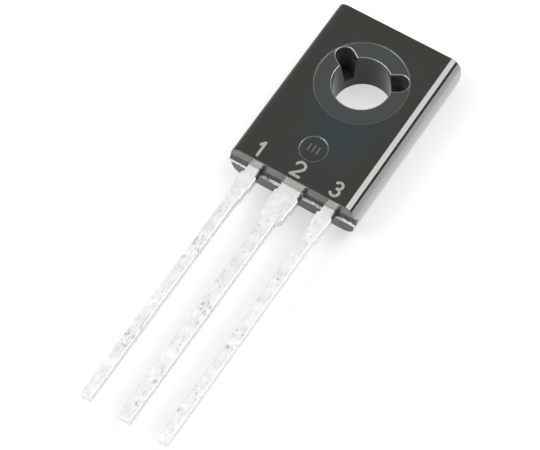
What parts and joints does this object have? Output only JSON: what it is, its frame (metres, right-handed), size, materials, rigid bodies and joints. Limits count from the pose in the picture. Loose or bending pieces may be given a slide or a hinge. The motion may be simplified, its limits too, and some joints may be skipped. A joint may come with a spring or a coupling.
{
  "type": "npn transistor",
  "caption": "Flat moulded power transistor with a screw hole through its case, a bare metal back and a row of straight leads out of one end.",
  "frame": {"origin": "where the axis of the screw hole meets the bare metal back", "axes": "+Z out of the marked front face, +Y towards the top end of the case, leads along -Y, emitter lead on the -X side and base lead on the +X side"},
  "size_m": [0.0075, 0.026, 0.0026],
  "materials": {
    "resin": "dark grey-green moulding compound, fine grained and half glossy",
    "tinned_metal": "satin tin plate over copper alloy",
    "silicon": "polished silicon",
    "solder": "dull solder",
    "bond_wire": "drawn aluminium wire",
    "ink": "pale printed ink of the pin numbers"
  },
  "bodies": {
    "root": {"moulded_body": "resin", "collector_lead": "tinned_metal", "emitter_lead": "tinned_metal", "base_lead": "tinned_metal", "silicon_die": "silicon", "die_solder": "solder", "emitter_wire": "bond_wire", "base_wire": "bond_wire"}
  },
  "joints": []
}
